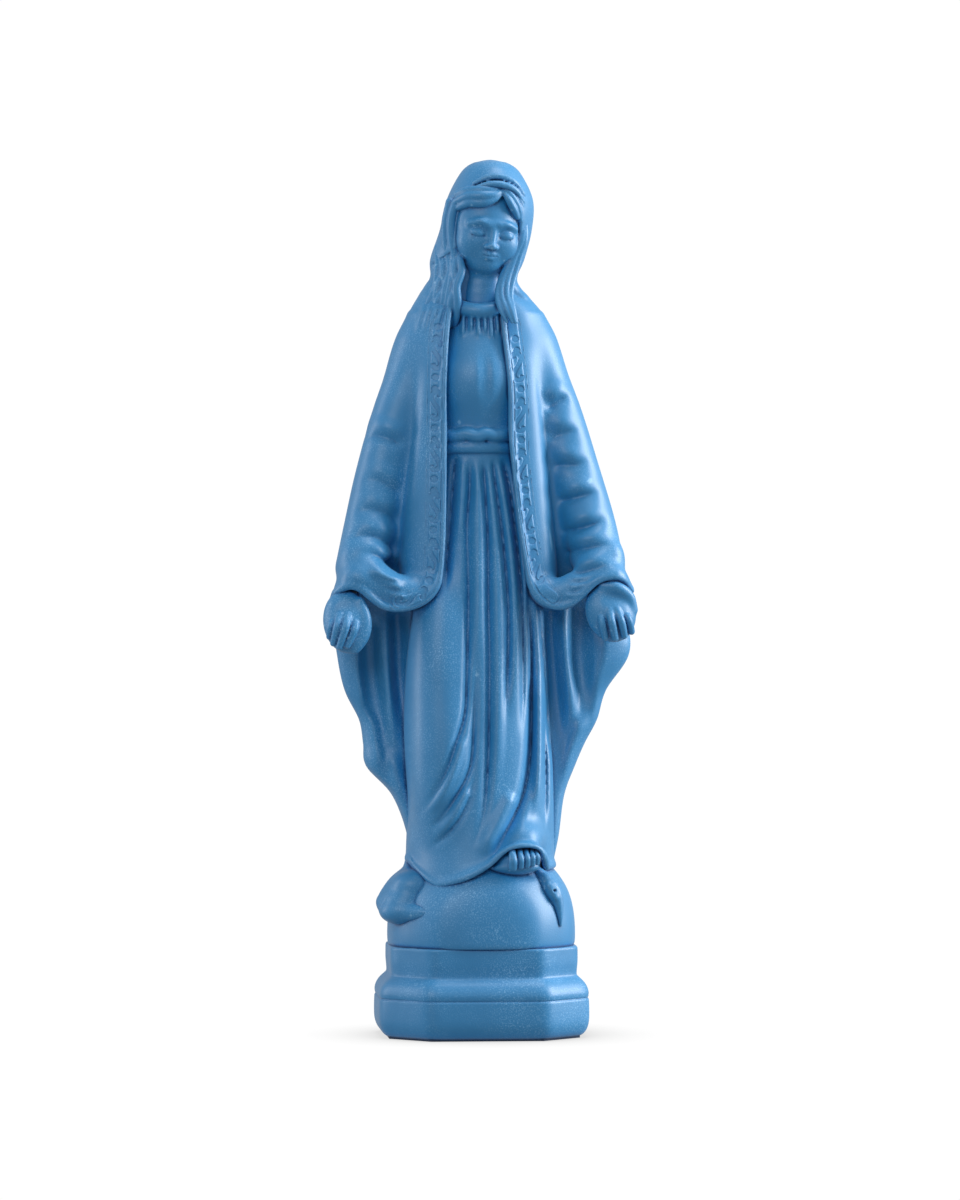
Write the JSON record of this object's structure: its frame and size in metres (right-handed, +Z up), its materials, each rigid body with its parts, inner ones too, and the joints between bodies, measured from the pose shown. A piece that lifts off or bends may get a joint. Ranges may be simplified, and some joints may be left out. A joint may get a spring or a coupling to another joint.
{
  "type": "madonna statue",
  "caption": "Free-standing cast figure of a robed, veiled woman with open hands, on a globe with a serpent and a stepped octagonal plinth, for a shelf or a home altar.",
  "frame": {"origin": "centre of the felt's underside, where the plinth stands on a surface", "axes": "+Z up, the figure faces -Y, +X to the right as seen from the front"},
  "size_m": [0.1065, 0.066, 0.3],
  "materials": {
    "painted_resin": "matte",
    "board": "matte",
    "felt": "matte",
    "plaster": "matte",
    "steel": "satin",
    "brass_insert": "satin"
  },
  "bodies": {
    "root": {"base_felt": "felt", "base_board": "board", "plinth": "painted_resin", "ballast": "plaster", "tie_rod": "steel", "tie_washer": "steel", "tie_nut": "steel", "globe": "painted_resin", "robe_insert": "brass_insert", "robe": "painted_resin", "left_foot": "painted_resin", "serpent_head": "painted_resin", "serpent_tail": "painted_resin", "mantle": "painted_resin", "neck_pin": "steel", "head": "painted_resin", "right_hand": "painted_resin", "right_hand_pin": "steel", "left_hand": "painted_resin", "left_hand_pin": "steel"}
  },
  "joints": []
}
